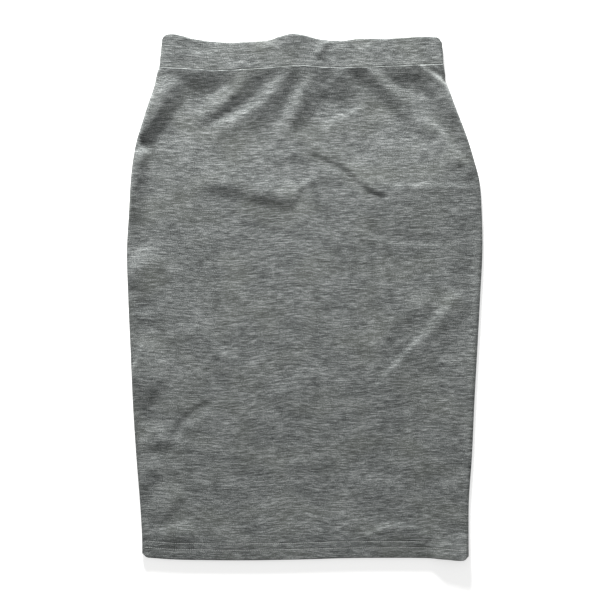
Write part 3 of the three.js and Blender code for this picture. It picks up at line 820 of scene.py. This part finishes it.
def stitch_rows(name, height, over):
    """Both rows of one panel's hem, each stitch lying along the cloth under it."""
    places = []
    for line in STITCH_LINES:
        x = np.arange(STITCH_FROM, STITCH_TO, STITCH_PITCH)
        y = curve_through(HEM_EDGE, x) + line
        inside = distances(x, y)[0] > STITCH_MARGIN
        places.append(np.stack([x[inside], y[inside]], -1))
    places = np.concatenate(places)
    places += np.random.default_rng(7).uniform(-STITCH_STRAY, STITCH_STRAY, places.shape)
    x, y = places.T
    z = height(x, y)
    climb = curve_through(HEM_EDGE, x + 1) - curve_through(HEM_EDGE, x)
    ahead = np.stack([np.ones_like(x), climb, height(x + 1, y) - z], -1)
    ahead /= np.linalg.norm(ahead, axis=-1, keepdims=True)
    aside = np.cross((0, 0, 1), ahead)
    aside /= np.linalg.norm(aside, axis=-1, keepdims=True)
    upward = np.cross(ahead, aside)
    # one stitch, copied as often as needed
    bm = bmesh.new()
    bmesh.ops.create_uvsphere(bm, u_segments=6, v_segments=5, radius=1)
    bmesh.ops.rotate(bm, verts=bm.verts, matrix=Matrix.Rotation(math.pi / 2, 3, "Y"))
    one = len(bm.verts)
    while len(bm.verts) < one * len(x):
        wanted = min(len(bm.verts), one * len(x) - len(bm.verts))
        faces = [face for face in bm.faces if max(v.index for v in face.verts) < wanted]
        bmesh.ops.duplicate(bm, geom=faces)
        bm.verts.index_update()
        bm.verts.ensure_lookup_table()
    mesh = bpy.data.meshes.new(name)
    bm.to_mesh(mesh)
    bm.free()
    place = np.empty(len(mesh.vertices) * 3)
    mesh.vertices.foreach_get("co", place)
    place = place.reshape(len(x), one, 3) * STITCH_SIZE
    ways = (ahead, aside, upward)
    turned = sum(place[:, :, k, None] * way[:, None] for k, way in enumerate(ways))
    turned += np.stack([x, y, z + over], -1)[:, None]
    mesh.vertices.foreach_set("co", (turned * MM).ravel())
    mesh.polygons.foreach_set("use_smooth", [True] * len(mesh.polygons))
    mesh.update()
    piece = bpy.data.objects.new(name, mesh)
    bpy.context.collection.objects.link(piece)
    return piece


# Spun polyester sewing thread, dyed to match: smoother than the cloth, so it catches some light,
# with the two plies of its twist a little paler and darker
THREAD_DARK = "#727573"
THREAD_PALE = "#aaadab"
PLIES = 900.0  # patches of tone in a metre

thread = bpy.data.materials.new("spun_polyester_thread")
thread.use_nodes = True
tree = thread.node_tree
tree.nodes.clear()
place = add_node(tree, "ShaderNodeTexCoord").outputs["Object"]
plies = {"Vector": place, "Scale": PLIES, "Detail": 1.0}
tones = {
    "Factor": add_node(tree, "ShaderNodeTexNoise", None, plies).outputs["Fac"],
    MIX_A: linear(THREAD_DARK),
    MIX_B: linear(THREAD_PALE),
}
tone = add_node(tree, "ShaderNodeMix", {"data_type": "RGBA"}, tones).outputs[MIX_RESULT]
finish = {"Base Color": tone, "Roughness": 0.7}
shader = add_node(tree, "ShaderNodeBsdfPrincipled", None, finish)
add_node(tree, "ShaderNodeOutputMaterial", None, {"Surface": shader.outputs["BSDF"]})

front_stitches = stitch_rows("front_hem_stitches", front_surface, FRONT_PROUD)
finish_piece(front_stitches, thread, "marl_jersey")
back_stitches = stitch_rows("back_hem_stitches", back_surface, BACK_SUNK)
finish_piece(back_stitches, thread, "marl_jersey")

# Surface, light and camera
# A pale light table on which the skirt lies, a soft lamp low beyond the waist, an even pale sky
# as in the studio, and a camera high above the middle of the skirt.

SURFACE_SIZE = 6
SURFACE_DROP = 0.0004  # below the cloth, so that the two faces don't meet

bm = bmesh.new()
bmesh.ops.create_grid(bm, x_segments=1, y_segments=1, size=SURFACE_SIZE)
bmesh.ops.translate(bm, verts=bm.verts, vec=(0, 0, -SURFACE_DROP))
floor_mesh = bpy.data.meshes.new("studio_surface")
bm.to_mesh(floor_mesh)
bm.free()
floor = bpy.data.objects.new("studio_surface", floor_mesh)
bpy.context.collection.objects.link(floor)
# Opal acrylic of a light table, matt and lit a little from below, so that shadows on it stay pale
acrylic = bpy.data.materials.new("opal_acrylic_light_table")
acrylic.use_nodes = True
acrylic_shader = acrylic.node_tree.nodes["Principled BSDF"]
acrylic_shader.inputs["Base Color"].default_value = linear("#f4f4f3")
acrylic_shader.inputs["Roughness"].default_value = 0.9
acrylic_shader.inputs["Specular IOR Level"].default_value = 0.1
acrylic_shader.inputs["Emission Color"].default_value = linear("#ffffff")
acrylic_shader.inputs["Emission Strength"].default_value = 0.5
floor.data.materials.append(acrylic)

LAMP_AWAY = 1.8  # metres from the middle of the skirt
LAMP_HEIGHT = math.radians(14)
LAMP_TURN = math.radians(8)  # towards the left, from straight beyond the waist
LAMP_SIZE = 0.45
LAMP_POWER = 132
SKY = 0.42  # strength of the even light from all round

lamp_data = bpy.data.lights.new("soft_lamp", "AREA")
lamp_data.shape = "DISK"
lamp_data.size = LAMP_SIZE
lamp_data.energy = LAMP_POWER
lamp = bpy.data.objects.new("soft_lamp", lamp_data)
bpy.context.collection.objects.link(lamp)
lamp.location = (
    -LAMP_AWAY * math.cos(LAMP_HEIGHT) * math.sin(LAMP_TURN),
    LAMP_AWAY * math.cos(LAMP_HEIGHT) * math.cos(LAMP_TURN),
    LAMP_AWAY * math.sin(LAMP_HEIGHT),
)
lamp.rotation_euler = (-lamp.location).to_track_quat("-Z", "Y").to_euler()

world = bpy.data.worlds.new("pale_sky")
world.use_nodes = True
sky = world.node_tree.nodes["Background"]
sky.inputs["Color"].default_value = linear("#ffffff")
sky.inputs["Strength"].default_value = SKY
bpy.context.scene.world = world
bpy.context.scene.view_settings.view_transform = "Standard"

FIELD = 0.756  # width of the picture on the surface, in metres
CAMERA_PLACE = (-0.006, -0.00315, 2.4)
SENSOR = 36
camera_data = bpy.data.cameras.new("overhead_camera")
camera_data.sensor_width = SENSOR
camera_data.lens = SENSOR * CAMERA_PLACE[2] / FIELD
camera = bpy.data.objects.new("overhead_camera", camera_data)
bpy.context.collection.objects.link(camera)
camera.location = CAMERA_PLACE
bpy.context.scene.camera = camera
